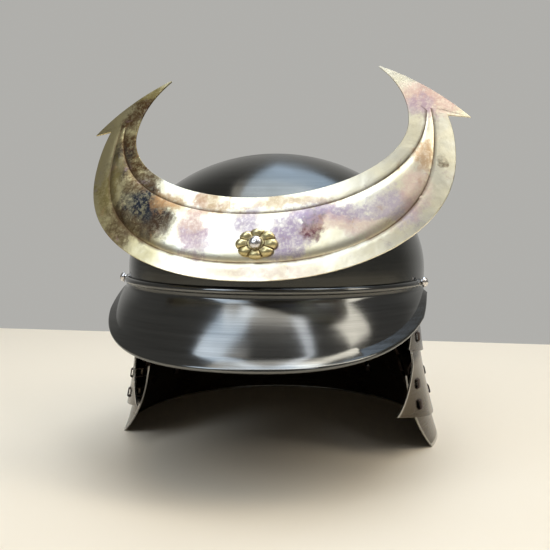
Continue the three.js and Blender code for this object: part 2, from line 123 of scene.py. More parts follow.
STITCHES = (
    dict(z=113.5, outer="bowl", inner="lame_top"),
    dict(z=84, outer="lame_top", inner="lame_middle"),
    dict(z=50, outer="lame_middle", inner="lame_bottom"),
    dict(z=35, outer="lame_middle", inner="lame_bottom"),
)

# ------------------------------------------------------------------ camera

CAMERA = dict(place=(0.0738, -0.5200, 0.1660), yaw=rad(8.517), down=rad(4.514), roll=rad(0.272), lens=44.61)


def make_camera():
    """The camera in front of the helmet, a little to its right, and plain colours in the picture."""
    data = bpy.data.cameras.new("camera")
    data.sensor_width = 36
    data.lens = CAMERA["lens"]
    data.clip_start = 0.01
    camera = bpy.data.objects.new("camera", data)
    bpy.context.scene.collection.objects.link(camera)
    heading = Matrix.Rotation(CAMERA["yaw"], 4, "Z")
    tilt = Matrix.Rotation(PI / 2 - CAMERA["down"], 4, "X")
    roll = Matrix.Rotation(CAMERA["roll"], 4, "Z")
    camera.matrix_world = Matrix.Translation(CAMERA["place"]) @ heading @ tilt @ roll
    bpy.context.scene.camera = camera
    bpy.context.scene.view_settings.view_transform = "Standard"


# ------------------------------------------------------------------ mesh helpers


def add_object(name, points, faces, place, sharp=30):
    """A mesh from points in millimetres, shaded smooth up to the sharp angle in degrees."""
    mesh = bpy.data.meshes.new(name)
    mesh.from_pydata([tuple(p) for p in np.asarray(points, float) * MM], [], faces)
    bm = bmesh.new()
    bm.from_mesh(mesh)
    bmesh.ops.remove_doubles(bm, verts=bm.verts, dist=1e-7)
    bmesh.ops.recalc_face_normals(bm, faces=bm.faces)
    bm.to_mesh(mesh)
    bm.free()
    mesh.shade_smooth()
    mesh.set_sharp_from_angle(angle=rad(sharp))
    piece = bpy.data.objects.new(name, mesh)
    bpy.context.scene.collection.objects.link(piece)
    piece.matrix_world = place
    return piece


def ribbon(fronts, backs, closed=False):
    """Points and faces of a closed wall between two grids of section by place along it."""
    fronts, backs = np.asarray(fronts, float), np.asarray(backs, float)
    loops = np.concatenate([fronts, backs[:, ::-1]], axis=1)
    count, loop = loops.shape[:2]
    faces = []
    for i in range(count if closed else count - 1):
        here, there = i * loop, (i + 1) % count * loop
        for k in range(loop):
            m = (k + 1) % loop
            faces.append((here + k, here + m, there + m, there + k))
    if not closed:
        last = (count - 1) * loop
        for k in range(fronts.shape[1] - 1):
            across = loop - 1 - k
            faces.append((k, across, across - 1, k + 1))
            faces.append((last + k, last + k + 1, last + across - 1, last + across))
    return loops.reshape(-1, 3), faces


def turned(profile, segments):
    """Points and faces of a round solid about Z, from [radius, height] pairs that start and end on it."""
    points = [(0, 0, profile[0][1])]
    for r, h in profile[1:-1]:
        for k in range(segments):
            a = 2 * PI * k / segments
            points.append((r * math.cos(a), r * math.sin(a), h))
    points.append((0, 0, profile[-1][1]))
    rings = len(profile) - 2
    last = len(points) - 1
    faces = []
    for k in range(segments):
        m = (k + 1) % segments
        faces.append((0, 1 + k, 1 + m))
        faces.append((last, last - segments + m, last - segments + k))
        for i in range(rings - 1):
            a = 1 + i * segments
            b = a + segments
            faces.append((a + k, b + k, b + m, a + m))
    return np.array(points, float), faces


def facing(point, outward):
    """A frame at a point whose Z axis is the outward direction."""
    return Matrix.Translation(point) @ Vector(outward).to_track_quat("Z", "Y").to_matrix().to_4x4()


def metres(matrix):
    """A matrix in millimetres as one in metres."""
    result = matrix.copy()
    result.translation = matrix.translation * MM
    return result


def cut(piece, cutters):
    """Takes the cutters, as (points, faces) in millimetres in the piece's frame, away from it."""
    points, faces = [], []
    for cutter_points, cutter_faces in cutters:
        start = len(points)
        points.extend(cutter_points)
        faces.extend(tuple(start + i for i in face) for face in cutter_faces)
    tool = add_object("tool", points, faces, piece.matrix_world.copy())
    modifier = piece.modifiers.new("cut", "BOOLEAN")
    modifier.object = tool
    modifier.solver = "EXACT"
    bpy.context.view_layer.update()
    evaluated = piece.evaluated_get(bpy.context.evaluated_depsgraph_get())
    mesh = bpy.data.meshes.new_from_object(evaluated)
    piece.modifiers.clear()
    piece.data = mesh
    bpy.data.objects.remove(tool)
    mesh.shade_smooth()
    mesh.set_sharp_from_angle(angle=rad(30))


def box_cutter(size, place):
    half = np.array(size) / 2
    corners = [(x, y, z) for x in (-1, 1) for y in (-1, 1) for z in (-1, 1)]
    points = [place @ Vector(np.array(c) * half) for c in corners]
    faces = [(0, 1, 3, 2), (4, 6, 7, 5), (0, 4, 5, 1), (2, 3, 7, 6), (0, 2, 6, 4), (1, 5, 7, 3)]
    return [tuple(p) for p in points], faces


DRILL_REACH = 12


def drill(radius, place):
    profile = [(0, -DRILL_REACH), (radius, -DRILL_REACH), (radius, DRILL_REACH), (0, DRILL_REACH)]
    points, faces = turned(profile, 32)
    return [tuple(place @ Vector(p)) for p in points], faces


def round_edges(piece, width):
    """Rounds a piece's sharp edges by a width in millimetres."""
    bevel = piece.modifiers.new("round edges", "BEVEL")
    bevel.width = width * MM
    bevel.segments = 2
    bevel.limit_method = "ANGLE"
    bevel.angle_limit = rad(50)


def mark(piece, name, points, values):
    """Keeps a value from 0 to 1 on each point of a piece, for its material."""
    lookup = {tuple(np.round(p, 3)): v for p, v in zip(points, values)}
    attribute = piece.data.attributes.new(name, "FLOAT", "POINT")
    found = [lookup.get(tuple(np.round(np.array(v.co) / MM, 3)), 0.0) for v in piece.data.vertices]
    attribute.data.foreach_set("value", found)


def finish_piece(piece, node, material):
    piece.data.materials.clear()
    piece.data.materials.append(material)
    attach(piece, "root")
    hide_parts(node)


# ------------------------------------------------------------------ materials


class Nodes:
    """Short ways to add nodes to a material."""

    def __init__(self, name):
        self.material = bpy.data.materials.new(name)
        self.material.use_nodes = True
        self.tree = self.material.node_tree
        self.shader = self.tree.nodes["Principled BSDF"]

    def add(self, kind, inputs=None, **settings):
        node = self.tree.nodes.new("ShaderNode" + kind)
        for key, value in settings.items():
            setattr(node, key, value)
        for key, value in (inputs or {}).items():
            self.put(node.inputs[key], value)
        return node

    def put(self, socket, value):
        if isinstance(value, bpy.types.NodeSocket):
            self.tree.links.new(value, socket)
        elif isinstance(value, tuple) and len(value) == 3 and len(socket.default_value) == 4:
            socket.default_value = (*value, 1)
        else:
            socket.default_value = value

    def math(self, operation, *values):
        return self.add("Math", dict(enumerate(values)), operation=operation).outputs[0]

    def vector(self, operation, *values):
        return self.add("VectorMath", dict(enumerate(values)), operation=operation).outputs

    def mix(self, share, a, b):
        node = self.add("Mix", data_type="RGBA")
        self.put(node.inputs[0], share)
        self.put(node.inputs[6], a)
        self.put(node.inputs[7], b)
        return node.outputs[2]

    def ramp(self, value, low, high, out_low=0.0, out_high=1.0):
        """A smooth step of value from low to high."""
        inputs = {"Value": value, "From Min": low, "From Max": high, "To Min": out_low, "To Max": out_high}
        return self.add("MapRange", inputs, interpolation_type="SMOOTHSTEP").outputs[0]

    def noise(self, vector, scale, detail=3, roughness=0.55, distortion=0.0):
        inputs = {
            "Vector": vector, "Scale": scale, "Detail": detail,
            "Roughness": roughness, "Distortion": distortion,
        }
        return self.add("TexNoise", inputs).outputs["Fac"]

    def stretched(self, vector, scale):
        return self.vector("MULTIPLY", vector, scale)[0]

    def place(self):
        return self.add("TexCoord").outputs["Object"]


def brushed_iron(name, color, roughness, lines, tint, grain=1.0, painted_edge_highlight=0.0):
    """Blackened iron, brushed level round the helmet; marked edges can be painted pale as a painted
    highlight.
    """
    n = Nodes(name)
    where = n.place()
    fine = n.noise(n.stretched(where, (18, 18, 2600)), 1, detail=4, roughness=0.7)
    coarse = n.noise(n.stretched(where, (9, 9, 500)), 1, detail=2)
    cloud = n.noise(where, 22, detail=3)
    wear_and_highlight = n.ramp(cloud, 0.35, 0.75)
    streak = n.math("MULTIPLY_ADD", fine, 0.6, n.math("MULTIPLY", coarse, 0.4))
    bright = n.ramp(streak, 0.3, 0.72)
    tone = n.mix(n.math("MULTIPLY", wear_and_highlight, 0.5), color, tint)
    tone = n.mix(n.math("MULTIPLY", bright, lines), tone, tuple(min(1, 2.1 * c) for c in color))
    # Painted highlight: vertices marked "edge" are painted pale bare-steel grey, standing in for the light
    # that rims and front edges catch.
    if painted_edge_highlight:
        edge = n.add("Attribute", attribute_name="edge").outputs["Fac"]
        tone = n.mix(n.math("MULTIPLY", edge, painted_edge_highlight), tone, (0.62, 0.60, 0.56))
    n.put(n.shader.inputs["Base Color"], tone)
    n.shader.inputs["Metallic"].default_value = 1
    rough = n.math("MULTIPLY_ADD", streak, 0.16 * grain, roughness - 0.06)
    n.put(n.shader.inputs["Roughness"], n.math("MULTIPLY_ADD", wear_and_highlight, 0.06, rough))
    bump = n.add("Bump", {"Height": streak, "Strength": 0.25 * grain, "Distance": 0.00004})
    n.put(n.shader.inputs["Normal"], bump.outputs[0])
    n.shader.inputs["Anisotropic"].default_value = 0.8
    n.shader.inputs["Anisotropic Rotation"].default_value = 0.25
    tangent = n.add("Tangent", direction_type="RADIAL", axis="Z")
    n.put(n.shader.inputs["Tangent"], tangent.outputs[0])
    return n.material


def bright_rivet():
    n = Nodes("rivet_silver")
    where = n.place()
    spots = n.noise(where, 900, detail=4)
    tone = n.mix(n.ramp(spots, 0.35, 0.7), (0.62, 0.58, 0.56), (0.86, 0.84, 0.82))
    n.put(n.shader.inputs["Base Color"], tone)
    n.put(n.shader.inputs["Roughness"], n.ramp(spots, 0.2, 0.8, 0.2, 0.34))
    n.shader.inputs["Metallic"].default_value = 1
    return n.material


def dark_thong():
    n = Nodes("thong_leather")
    where = n.place()
    fibres = n.noise(where, 700, detail=4)
    tone = n.mix(fibres, (0.030, 0.019, 0.014), (0.085, 0.052, 0.038))
    n.put(n.shader.inputs["Base Color"], tone)
    n.shader.inputs["Roughness"].default_value = 0.62
    bump = n.add("Bump", {"Height": fibres, "Strength": 0.5, "Distance": 0.0002})
    n.put(n.shader.inputs["Normal"], bump.outputs[0])
    return n.material


# Stains of the crest: place across and up its sheet and half sizes in mm, colour and strength.
BLUE_BLACK = (0.020, 0.023, 0.032)
BROWN = (0.085, 0.045, 0.018)
OLIVE = (0.22, 0.165, 0.055)
ORANGE = (0.42, 0.22, 0.085)
PINK = (0.60, 0.40, 0.33)
MAUVE = (0.36, 0.27, 0.36)
MAROON = (0.17, 0.07, 0.08)
STAINS = (
    # x, z, half width, half height, colour, strength
    (-84, 112, 16, 8, OLIVE, 0.8),
    (-91, 104, 12, 8, BROWN, 0.95),
    (-99, 94, 7, 7, BROWN, 0.9),
    (-93, 74, 10, 14, BROWN, 0.95),
    (-88, 58, 12, 8, BROWN, 0.9),
    (-99, 60, 9, 13, BLUE_BLACK, 0.5),
    (-104, 40, 9, 22, OLIVE, 0.8),
    (-76, 27, 14, 16, BLUE_BLACK, 1.0),
    (-64, 17, 10, 11, BLUE_BLACK, 0.95),
    (-66, 12, 16, 8, BROWN, 0.6),
    (-58, 29, 11, 9, ORANGE, 0.7),
    (-91, 12, 12, 16, BROWN, 0.75),
    (-78, 44, 14, 9, BROWN, 0.8),
    (-36, 12, 8, 19, PINK, 0.75),
    (-34, 2, 8, 10, MAUVE, 0.5),
    (-24, 27, 16, 5, ORANGE, 0.6),
    (-3, 14, 9, 14, MAUVE, 0.65),
    (25, 5, 13, 15, MAUVE, 0.8),
    (39, 9, 6, 7, MAROON, 0.95),
    (38, 17, 7, 5, BLUE_BLACK, 0.6),
    (50, 20, 26, 7, MAUVE, 0.75),
    (60, 12, 22, 6, PINK, 0.6),
    (86, 24, 15, 9, MAUVE, 0.65),
    (96, 36, 9, 14, PINK, 0.6),
    (103, 58, 6, 10, ORANGE, 0.65),
    (115, 53, 3, 4, BROWN, 0.7),
    (104, 100, 20, 13, PINK, 0.8),
    (98, 92, 9, 7, MAUVE, 0.5),
    (10, -18, 40, 5, PINK, 0.4),
    (20, 28, 30, 4, ORANGE, 0.45),
)


def tarnished_brass(name, stains=(), pale_tone=(0.93, 0.88, 0.72), deep_tone=(0.80, 0.72, 0.50)):
    """Pale brass, browner and darker towards its left end, partly tarnish and partly painted shade, with
    stains, and with dirt and painted shade darkening its creases.
    """
    n = Nodes(name)
    where = n.place()
    warp = n.add("TexNoise", {"Vector": where, "Scale": 60, "Detail": 3, "Roughness": 0.6}).outputs["Color"]
    shift = n.vector("MULTIPLY", n.vector("SUBTRACT", warp, (0.5, 0.5, 0.5))[0], (0.024, 0.024, 0.024))[0]
    warped = n.vector("ADD", where, shift)[0]
    cloud = n.noise(where, 38, detail=5, roughness=0.62)
    mottle = n.noise(where, 150, detail=6, roughness=0.72)
    speckle = n.noise(where, 420, detail=5, roughness=0.7)
    x = n.add("SeparateXYZ", {0: where}).outputs[0]
    # Painted shade with tarnish: the left end is darkened and browned, partly its tarnish and partly the
    # shade of a horn turned away from the light.
    left_shade_and_tarnish = n.ramp(n.math("MULTIPLY_ADD", cloud, -0.06, x), -0.06, -0.12)
    pale = n.mix(n.ramp(cloud, 0.3, 0.7), pale_tone, deep_tone)
    tone = n.mix(n.math("MULTIPLY", left_shade_and_tarnish, 0.85), pale, (0.44, 0.35, 0.15))
    tone = n.mix(n.ramp(speckle, 0.56, 0.8, 0, 0.3), tone, (0.40, 0.30, 0.16))
    dull = None
    ragged_coarse = n.math("MULTIPLY_ADD", mottle, 1.7, -0.85)
    ragged_fine = n.math("MULTIPLY_ADD", speckle, 1.6, -0.8)
    ragged = n.math("ADD", ragged_coarse, ragged_fine)
    patchy = n.ramp(speckle, 0.38, 0.56, 0.6, 1)
    for sx, sz, half_width, half_height, color, strength in stains:
        away = n.vector("SUBTRACT", warped, (sx * MM, 0, sz * MM))[0]
        scaled = n.vector("MULTIPLY", away, (1 / (half_width * MM), 0, 1 / (half_height * MM)))[0]
        reach = n.math("ADD", n.vector("LENGTH", scaled)[1], ragged)
        mask = n.math("MULTIPLY", n.ramp(reach, 1.35, 0.55, 0, min(1, 1.15 * strength)), patchy)
        tone = n.mix(mask, tone, color)
        dull = mask if dull is None else n.math("MAXIMUM", dull, mask)
    if stains:
        blotch = n.noise(n.vector("ADD", where, (3, 1, 2))[0], 95, detail=6, roughness=0.68, distortion=0.6)
        tone = n.mix(n.ramp(blotch, 0.56, 0.72, 0, 0.5), tone, n.mix(n.ramp(cloud, 0.4, 0.6), MAUVE, ORANGE))
    # Painted shade with dirt: the marked creases are darkened towards dark brown, partly dirt and partly the
    # shade that falls in them.
    dirt = n.add("Attribute", attribute_name="dirt").outputs["Fac"]
    crease_darkening = n.math("MULTIPLY", dirt, n.ramp(cloud, 0.3, 0.6, 0.45, 1))
    tone = n.mix(crease_darkening, tone, (0.10, 0.055, 0.025))
    n.put(n.shader.inputs["Base Color"], tone)
    n.shader.inputs["Metallic"].default_value = 1
    rough = n.ramp(cloud, 0.25, 0.75, 0.30, 0.40)
    if dull is not None:
        rough = n.math("MULTIPLY_ADD", dull, 0.18, rough)
    n.put(n.shader.inputs["Roughness"], rough)
    bump = n.add("Bump", {"Height": n.noise(where, 60, detail=6), "Strength": 0.35, "Distance": 0.0012})
    n.put(n.shader.inputs["Normal"], bump.outputs[0])
    return n.material


# ------------------------------------------------------------------ bowl


def make_bowl(material):
    steps = 40
    outer, inner = BOWL["half_width"], BOWL["half_width"] - BOWL["wall"]
    middle, edge = (outer + inner) / 2, BOWL["wall"] / 2

    def dome(radius, height, angle):
        return radius * math.sin(angle), BOWL["dome_base_z"] + height * math.cos(angle)

    profile = [dome(outer, BOWL["dome_height"], PI / 2 * i / steps) for i in range(steps + 1)]
    profile += [(outer, z) for z in BOWL["wall_z"]]
    for turn in range(0, 181, 30):
        z = BOWL["rim_z"] + edge - edge * math.sin(rad(turn))
        profile.append((middle + edge * math.cos(rad(turn)), z))
    profile += [(inner, z) for z in BOWL["wall_z"][::-1]]
    height = BOWL["dome_height"] - BOWL["wall"]
    profile += [dome(inner, height, PI / 2 * (1 - i / steps)) for i in range(steps + 1)]
    points, faces = turned(profile, 160)
    points[:, 1] *= BOWL["half_length"] / BOWL["half_width"]
    piece = add_object("iron_bowl", points, faces, AXIS)
    holes = [drill(VISOR_RIVET["shank_radius"] + GAP, visor_rivet_frame(side)) for side in (-1, 1)]
    holes.append(drill(CREST_RIVET["shank_radius"] + GAP, crest_matrix() @ rivet_way()))
    cut(piece, holes + slots_for("bowl"))
    finish_piece(piece, "bowl", material)


# ------------------------------------------------------------------ visor


def visor_point(angle, out, down, flared=0.0):
    side_flare = VISOR["left_flare"] if angle < 0 else VISOR["right_flare"]
    x = (VISOR["half_width"] + out + side_flare * flared) * math.sin(angle)
    y = -(VISOR["half_length"] + out + VISOR["front_flare"] * flared) * math.cos(angle)
    return (x, y, VISOR["top_z"] - down)


def visor_section(angle):
    """Outer and inner points of the visor's section, from its bead down to the rolled hem."""
    share = max(0, 1 - abs(angle / VISOR["end_angle"]) ** VISOR["drop_power"]) ** VISOR["drop_roundness"]
    size = VISOR["end_shrink"] + (1 - VISOR["end_shrink"]) * min(1, 3 * share)
    drop = VISOR["band_drop"] * share
    bead, wall, band_top = VISOR["bead_radius"], VISOR["wall"], VISOR["band_top"]
    outer, inner = [], []
    for turn in np.linspace(-80, 62, 12):
        out = bead * (math.cos(rad(turn)) - VISOR["bead_sink"])
        outer.append(visor_point(angle, out, bead * (1 + math.sin(rad(turn)))))
    for down in np.linspace(0.5, 4.6, 12):
        inner.append(visor_point(angle, -wall - 0.1, down))
    for s in (0.2, 0.7):
        down = band_top - VISOR["neck"] * (1 - s)
        outer.append(visor_point(angle, 0.05 * s, down))
        inner.append(visor_point(angle, -wall, down))
    for s in np.linspace(0, 1, 15):
        out = VISOR["skin_out"] + VISOR["belly"] * s * (1 - s) * drop
        outer.append(visor_point(angle, out, band_top + drop * s, s * share))
        inner.append(visor_point(angle, out - wall, band_top + drop * s + VISOR["inner_drop"], s * share))
    lip_out = VISOR["lip_out"] * size
    lip_down = band_top + drop + VISOR["lip_drop"] * size
    hem = VISOR["hem_radius"] * size

    def on_hem(turn):
        out = lip_out + hem * math.cos(rad(turn))
        return visor_point(angle, out, lip_down + hem * (1 + math.sin(rad(turn))), share)

    outer += [on_hem(turn) for turn in np.linspace(-62, 90, 12)]
    inner += [on_hem(turn) for turn in np.linspace(250, 118, 12)]
    return outer, inner


def make_visor(material):
    steps = 150
    outers, inners = [], []
    for i in range(steps + 1):
        outer, inner = visor_section(VISOR["end_angle"] * math.sin(PI / 2 * (2 * i / steps - 1)))
        outers.append(outer)
        inners.append(inner)
    points, faces = ribbon(outers, inners)
    piece = add_object("iron_visor", points, faces, AXIS, sharp=40)
    cut(piece, [drill(VISOR_RIVET["shank_radius"] + GAP, visor_rivet_frame(side)) for side in (-1, 1)])
    finish_piece(piece, "visor", material)


def visor_rivet_frame(side):
    angle = VISOR_RIVET["angle"]
    point = visor_point(side * angle, 0, VISOR["top_z"] - VISOR_RIVET["z"])
    outward = (side * math.sin(angle) / VISOR["half_width"], -math.cos(angle) / VISOR["half_length"], 0)
    return facing(point, outward)


RIVET_SINK = 0.12  # how far the underside of a head lies below its seat, mm


def rivet_mesh(spec, seat, depth):
    """A round-headed rivet along Z: head above seat, tail below depth."""
    profile = [(0, seat + spec["head_height"] - spec["dimple"])]
    for turn in np.linspace(4, 90, 14):
        dip = spec["dimple"] * max(0, 1 - turn / 16) ** 2
        radius = spec["head_radius"] * math.sin(rad(turn))
        profile.append((radius, seat + spec["head_height"] * math.cos(rad(turn)) - dip))
    shank, tail = spec["shank_radius"], spec["tail_radius"]
    end = -depth - spec["tail_height"]
    profile += [(spec["head_radius"] * 0.97, seat - RIVET_SINK), (shank, seat - RIVET_SINK)]
    profile += [(shank, -depth), (tail, -depth), (tail, end), (0, end)]
    return turned(profile, 48)


def make_visor_rivets(material):
    grip = VISOR["half_width"] - BOWL["half_width"] + BOWL["wall"] + 2 * GAP
    for node, side in (("visor_rivet_left", -1), ("visor_rivet_right", 1)):
        points, faces = rivet_mesh(VISOR_RIVET, VISOR_RIVET["seat"], grip)
        piece = add_object("silver_" + node, points, faces, AXIS @ metres(visor_rivet_frame(side)), sharp=50)
        finish_piece(piece, node, material)


# ------------------------------------------------------------------ crest


def crest_matrix():
    """The crest's frame in the bowl's, in millimetres."""
    turn = Matrix.Rotation(CREST["turn"], 4, "Z")
    lean = Matrix.Rotation(-CREST["lean"], 4, "X")
    roll = Matrix.Rotation(-CREST["roll"], 4, "Y")
    return Matrix.Translation((0, CREST["y"], CREST["z"])) @ turn @ lean @ roll


def rivet_way():
    return Matrix.Translation((ROSETTE["offset"], 0, -ROSETTE["drop"])) @ Matrix.Rotation(PI / 2, 4, "X")


def oval_point(oval, angle):
    x = oval["half_width"] * abs(math.cos(angle)) ** (2 / oval["power"])
    reach = -oval["below"] if angle < 0 else oval["above"]
    return np.array([x, oval["centre_z"] + reach * abs(math.sin(angle)) ** (2 / oval["power"])])


def along_oval(oval, u):
    return oval_point(oval, -PI / 2 + (PI / 2 + oval["end_angle"]) * u)


def smooth(t):
    t = min(1, max(0, t))
    return t * t * (3 - 2 * t)


def crest_depth(x, z):
    across = x / CREST_OUTER["half_width"]
    return CREST["sweep_back"] * across ** 4 + CREST["upper_sweep"] * across ** 2 * z / CREST["tip"][1]


def crest_rows():
    """Rows across one half of the crescent: flat x and z, how far it is raised, and how darkly its creases
    are painted, for dirt and painted shade.
    """
    margin = np.linspace(0, 1, 7)[:-1]
    crown = (0, 0.03, 0.07, 0.12, 0.2, 0.32, 0.5, 0.75, 1)
    field = np.linspace(0, 1, 7)[1:-1]
    rows = []
    steps = 110
    for i in range(steps + 1):
        u = i / steps
        edge_in, edge_out = along_oval(CREST_INNER, u), along_oval(CREST_OUTER, u)
        line_in, line_out = along_oval(PANEL_INNER, u), along_oval(PANEL_OUTER, u)
        width = np.linalg.norm(line_out - line_in)
        rise = min(CREST["crown"], 0.45 * width) / width
        fade = 1 - smooth((u - 1 + CREST["fade_share"]) / CREST["fade_share"])
        low = CREST["faded_height"]
        height = CREST["raised"] * min(1, width / CREST["full_panel"]) * (low + (1 - low) * fade)

        def panel(line, other):
            points = []
            for t in crown:
                sunk = CREST["groove"] * fade * (1 - t) ** CREST["groove_power"]
                raised = height * (1 - (1 - t) ** CREST["crown_power"]) - sunk
                # The third value darkens the panel's foot along each crease: dirt and painted shade.
                points.append((line + (other - line) * rise * t, raised, max(0, 1 - t / CREST["crease_dirt_and_shade_share"])))
            return points

        row = [(edge_in + (line_in - edge_in) * t, 0, 0) for t in margin]
        row += panel(line_in, line_out)
        row += [(line_in + (line_out - line_in) * (rise + (1 - 2 * rise) * t), height, 0) for t in field]
        row += panel(line_out, line_in)[::-1]
        row += [(edge_out + (line_out - edge_out) * t, 0, 0) for t in margin[::-1]]
        rows.append(row)
    across = len(rows[0])
    barb, tip = np.array(CREST["barb"]), np.array(CREST["tip"])
    bulge_way = np.array([tip[1] - barb[1], barb[0] - tip[0]])
    bulge_way = bulge_way / np.linalg.norm(bulge_way)
    for i in range(HORN["steps"] + 1):
        w = 1 - (1 - i / HORN["steps"]) ** HORN["crowding"]
        along = HORN["first_share"] + (1 - HORN["first_share"]) * w
        turn = CREST_INNER["end_angle"] + (CREST["tip_angle"] - CREST_INNER["end_angle"]) * along
        inside = oval_point(CREST_INNER, turn)
        outside = barb + (tip - barb) * w + bulge_way * 4 * CREST["top_edge_bulge"] * w * (1 - w)
        rows.append([(inside + (outside - inside) * k / (across - 1), 0, 0) for k in range(across)])
    return rows


def chamfered(row):
    """A row of flat places with its two edges doubled: the edge itself and a place a chamfer inside it."""
    width = np.linalg.norm(row[-1][0] - row[0][0])
    spacing = min(np.linalg.norm(row[1][0] - row[0][0]), np.linalg.norm(row[-1][0] - row[-2][0]))
    inset = min(CREST["chamfer"], 0.5 * spacing) / max(width, 1e-6)
    first, last = row[0][0], row[-1][0]
    second = (first + (last - first) * inset, *row[0][1:])
    before_last = (last + (first - last) * inset, *row[-1][1:])
    return [row[0], second, *row[1:-1], before_last, row[-1]]


def make_crest(material):
    half = [chamfered(row) for row in crest_rows()]
    fronts, backs, dirt = [], [], []
    for side, rows in ((-1, half[1:][::-1]), (1, half)):
        for row in rows:
            front, back = [], []
            for k, (flat, raised, _) in enumerate(row):
                depth = crest_depth(flat[0], flat[1]) - raised
                soft = CREST["chamfer"] if k in (0, len(row) - 1) else 0
                front.append((side * flat[0], depth - CREST["wall"] + soft, flat[1]))
                back.append((side * flat[0], depth - soft, flat[1]))
            fronts.append(front)
            backs.append(back)
            # Crease darkening, dirt and painted shade, on the front skin only.
            dirt.append([d for _, _, d in row] + [0] * len(row))
    points, faces = ribbon(fronts, backs)
    piece = add_object("brass_crest", points, faces, AXIS @ metres(crest_matrix()), sharp=32)
    cut(piece, [drill(CREST_RIVET["shank_radius"] + GAP, rivet_way())])
    mark(piece, "dirt", points, np.ravel(dirt))
    finish_piece(piece, "crest", material)


# A petal from the bore to the rim, as [share of the way, share of the rosette's height].
PETAL_PROFILE = (
    (0, 0.62), (0.16, 0.66), (0.2, 0.76), (0.25, 0.8), (0.29, 0.72), (0.33, 0.66), (0.42, 0.8),
    (0.55, 0.95), (0.68, 1.0), (0.8, 0.93), (0.9, 0.74), (0.97, 0.5), (1, 0.3),
)


def make_rosette(material):
    seat = -CREST["raised"] - CREST["wall"] - GAP
    steps = 320
    fronts, backs, dirt = [], [], []
    for i in range(steps):
        angle = 2 * PI * i / steps
        petal = abs(math.cos(ROSETTE["petals"] * angle / 2))
        rim = 1 - ROSETTE["notch"] * (1 - petal ** 0.6)
        front, back = [], []
        for share, height in PETAL_PROFILE:
            along = ROSETTE["bore_radius"] + (ROSETTE["half_width"] * rim - ROSETTE["bore_radius"]) * share
            up = ROSETTE["bore_radius"] + (ROSETTE["half_height"] * rim - ROSETTE["bore_radius"]) * share
            open_out = smooth((share - 0.3) / 0.25)
            crown = 1 - (1 - ROSETTE["crease"]) * (1 - petal ** 0.55) * open_out
            tall = max(ROSETTE["height"] * height * crown, 0.35 if share == 1 else 0.5)
            front.append((math.cos(angle) * along, seat - tall, math.sin(angle) * up))
            back.append((math.cos(angle) * along, seat, math.sin(angle) * up))
            # Painted shade: the creases between the petals and the groove round the middle are darkened in
            # the material.
            between_petals = max(0, 1 - petal / 0.32) * smooth((share - 0.25) / 0.1)
            round_middle = 0.8 * (0.28 < share < 0.35)
            dirt.append(between_petals + round_middle)
        dirt.extend([0] * len(PETAL_PROFILE))
        fronts.append(front)
        backs.append(back)
    points, faces = ribbon(fronts, backs, closed=True)
    place = AXIS @ metres(crest_matrix() @ Matrix.Translation((ROSETTE["offset"], 0, -ROSETTE["drop"])))
    piece = add_object("brass_rosette", points, faces, place, sharp=60)
    mark(piece, "dirt", points, dirt)
    finish_piece(piece, "rosette", material)


def make_crest_rivet(material):
    seat = CREST["raised"] + CREST["wall"] + GAP + ROSETTE["middle_height"] + GAP
    points, faces = rivet_mesh(CREST_RIVET, seat, CREST_RIVET["tail_depth"])
    place = AXIS @ metres(crest_matrix() @ rivet_way())
    piece = add_object("silver_rosette_rivet", points, faces, place, sharp=50)
    finish_piece(piece, "rosette_rivet", material)


# ------------------------------------------------------------------ neck guard


def guard_oval(z, layer):
    """Half width, half length and middle y of the neck guard's level section."""
    spread = max(0, (GUARD["top_z"] - z) / GUARD["top_z"]) ** GUARD["power"]
    back = GUARD["back"] + GUARD["back_spread"] * spread
    front = GUARD["front"] + GUARD["front_spread"] * spread
    grow = layer * GUARD["nesting"]
    half_width = GUARD["half_width"] + GUARD["width_spread"] * spread + grow
    return half_width, (back + front) / 2 + grow, (back - front) / 2


def edge_run(lame, z):
    return min(1, max(0, (lame["top_z"] - z) / (lame["top_z"] - lame["corner_z"])))


def front_edge_y(lame, z):
    return lame["top_y"] + (lame["corner_y"] - lame["top_y"]) * edge_run(lame, z) ** lame["edge_power"]


def lame_point(lame, angle, z, depth=0.0):
    a, b, middle = guard_oval(z, lame["layer"])
    x = (a - depth) * math.sin(angle)
    y = middle - (b - depth) * math.cos(angle)
    nearness = min(1, max(0, 1 - (y - front_edge_y(lame, z)) / GUARD["turn_in_length"]))
    at_top, at_corner = lame["turn_left"] if x < 0 else lame["turn_right"]
    turn_in = at_top + (at_corner - at_top) * edge_run(lame, z) ** lame["edge_power"]
    return Vector((x - math.copysign(turn_in * nearness ** 2, x), y, z))


def front_angle(lame, z):
    _, b, middle = guard_oval(z, lame["layer"])
    return math.acos((middle - front_edge_y(lame, z)) / b)


BODY_ROWS = 24  # rows of a lame above the bead at its lower edge


